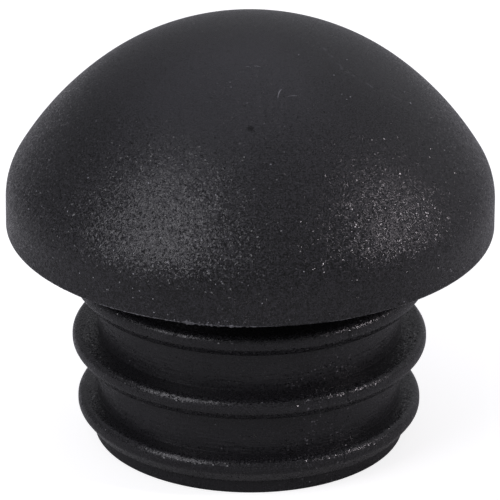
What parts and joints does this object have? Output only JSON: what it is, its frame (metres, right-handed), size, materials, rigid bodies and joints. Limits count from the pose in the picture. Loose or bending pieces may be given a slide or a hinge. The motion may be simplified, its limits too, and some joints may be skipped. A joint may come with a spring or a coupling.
{
  "type": "domed tube-end chair glide",
  "caption": "Domed plastic glide with a ribbed stem that presses into the end of a round chair leg tube.",
  "frame": {"origin": "on the axis, in the plane of the flat seat under the domed head", "axes": "+Z along the axis from the stem to the top of the dome"},
  "size_m": [0.031, 0.031, 0.0275],
  "materials": {
    "black_plastic": "fine spark-eroded grain, slightly glossy"
  },
  "bodies": {
    "root": {"domed_glide": "black_plastic"}
  },
  "joints": []
}
